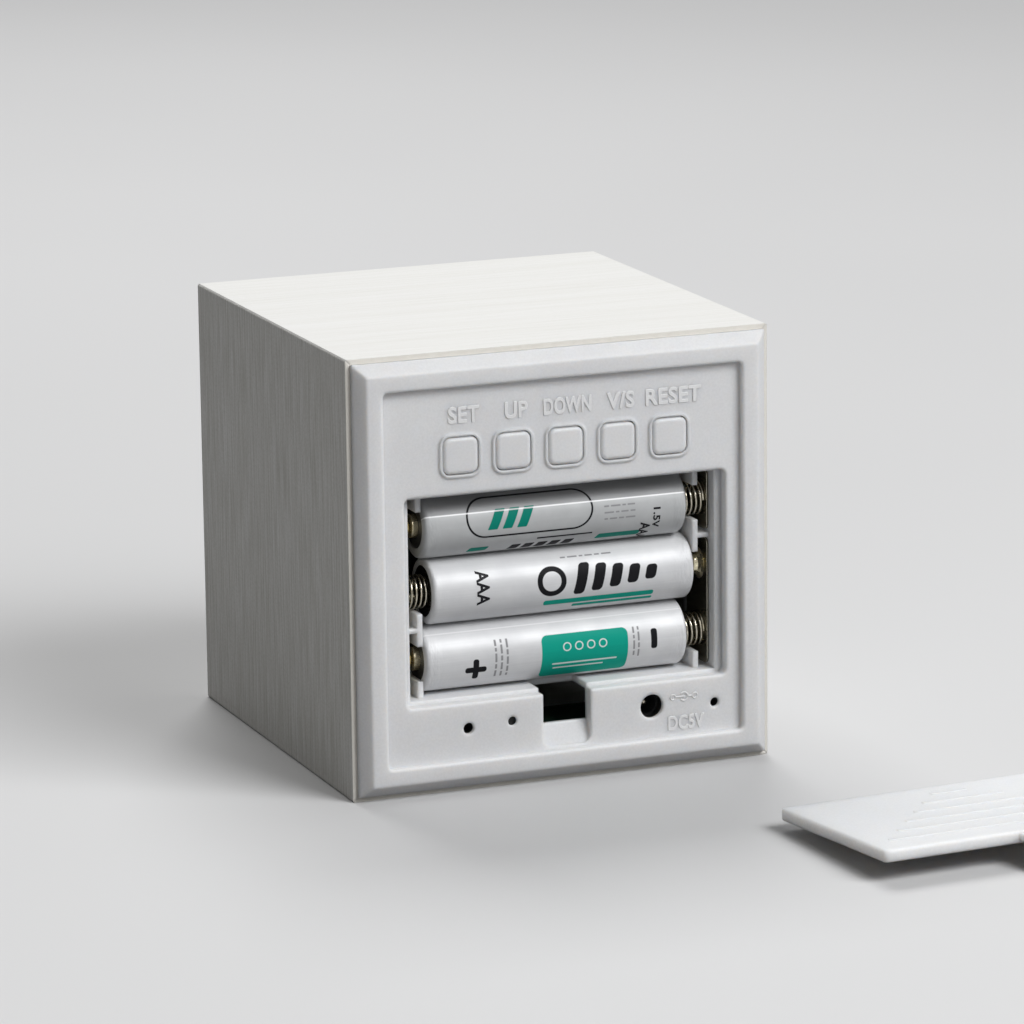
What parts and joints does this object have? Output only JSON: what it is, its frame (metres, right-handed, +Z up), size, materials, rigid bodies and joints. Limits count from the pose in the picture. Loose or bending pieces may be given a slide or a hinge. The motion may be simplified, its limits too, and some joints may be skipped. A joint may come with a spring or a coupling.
{
  "type": "talking clock",
  "caption": "Cube desk clock with a film-wrapped case, moulded rear cover, open battery bay with cells and springs, setting buttons and a loose battery door.",
  "frame": {"origin": "middle of the case's underside, on the surface that it stands on", "axes": "+Z up, the digits face -Y, the rear cover faces +Y"},
  "size_m": [0.1082, 0.1466, 0.069],
  "materials": {
    "case_film": "satin",
    "cover_plastic": "satin",
    "button_plastic": "satin",
    "door_plastic": "satin",
    "cell_sleeve": "gloss",
    "cell_metal": "polished",
    "cell_washer": "matt",
    "contact_plating": "polished",
    "spring_plating": "polished",
    "circuit_board": "satin",
    "dark_moulding": "matt",
    "jack_plating": "polished",
    "digit_moulding": "matt",
    "diffuser_film": "matt",
    "can_aluminium": "satin",
    "crystal_steel": "satin",
    "sensor_resin": "satin",
    "speaker_steel": "satin",
    "speaker_paper": "matt",
    "speaker_ferrite": "matt",
    "screw_steel": "satin",
    "ribbon_sheath": "satin"
  },
  "bodies": {
    "case": {"top_board": "case_film", "bottom_board": "case_film", "left_board": "case_film", "right_board": "case_film", "front_board": "case_film", "rear_cover": "cover_plastic", "set_switch": "dark_moulding", "up_switch": "dark_moulding", "down_switch": "dark_moulding", "sound_switch": "dark_moulding", "reset_switch": "dark_moulding", "upper_cell_spring": "spring_plating", "middle_cell_spring": "spring_plating", "lower_cell_spring": "spring_plating", "left_upper_contact": "contact_plating", "left_lower_contact": "contact_plating", "right_upper_contact": "contact_plating", "right_lower_contact": "contact_plating", "button_circuit_board": "circuit_board", "main_circuit_board": "circuit_board", "power_circuit_board": "circuit_board", "button_board_screws": "screw_steel", "main_board_screws": "screw_steel", "digit_display": "digit_moulding", "display_diffuser": "diffuser_film", "controller_chip": "dark_moulding", "crystal": "crystal_steel", "capacitor": "can_aluminium", "power_jack": "dark_moulding", "jack_pin": "jack_plating", "microphone": "can_aluminium", "temperature_sensor": "sensor_resin", "speaker_basket": "speaker_steel", "speaker_cone": "speaker_paper", "speaker_magnet": "speaker_ferrite", "ribbon_cable": "ribbon_sheath"},
    "set_button": {"set_button": "button_plastic"},
    "up_button": {"up_button": "button_plastic"},
    "down_button": {"down_button": "button_plastic"},
    "sound_button": {"sound_button": "button_plastic"},
    "reset_button": {"reset_button": "button_plastic"},
    "battery_door": {"battery_door": "door_plastic"},
    "upper_cell": {"upper_cell_can": "cell_metal", "upper_cell_washer": "cell_washer", "upper_cell_sleeve": "cell_sleeve"},
    "middle_cell": {"middle_cell_can": "cell_metal", "middle_cell_washer": "cell_washer", "middle_cell_sleeve": "cell_sleeve"},
    "lower_cell": {"lower_cell_can": "cell_metal", "lower_cell_washer": "cell_washer", "lower_cell_sleeve": "cell_sleeve"}
  },
  "joints": [
    {"name": "set_press", "type": "slide", "parent": "case", "child": "set_button", "axis": [0, -1, 0], "range_m": [0, 0.0005], "stiffness_N_per_m": 1500},
    {"name": "up_press", "type": "slide", "parent": "case", "child": "up_button", "axis": [0, -1, 0], "range_m": [0, 0.0005], "stiffness_N_per_m": 1500},
    {"name": "down_press", "type": "slide", "parent": "case", "child": "down_button", "axis": [0, -1, 0], "range_m": [0, 0.0005], "stiffness_N_per_m": 1500},
    {"name": "sound_press", "type": "slide", "parent": "case", "child": "sound_button", "axis": [0, -1, 0], "range_m": [0, 0.0005], "stiffness_N_per_m": 1500},
    {"name": "reset_press", "type": "slide", "parent": "case", "child": "reset_button", "axis": [0, -1, 0], "range_m": [0, 0.0005], "stiffness_N_per_m": 1500},
    {"name": "door_lift", "type": "slide", "parent": "case", "child": "battery_door", "axis": [0, 0, 1], "range_m": [0, 0.05]},
    {"name": "upper_cell_slide", "type": "slide", "parent": "case", "child": "upper_cell", "axis": [0, 1, 0], "range_m": [0, 0.03]},
    {"name": "middle_cell_slide", "type": "slide", "parent": "case", "child": "middle_cell", "axis": [0, 1, 0], "range_m": [0, 0.03]},
    {"name": "lower_cell_slide", "type": "slide", "parent": "case", "child": "lower_cell", "axis": [0, 1, 0], "range_m": [0, 0.03]}
  ]
}
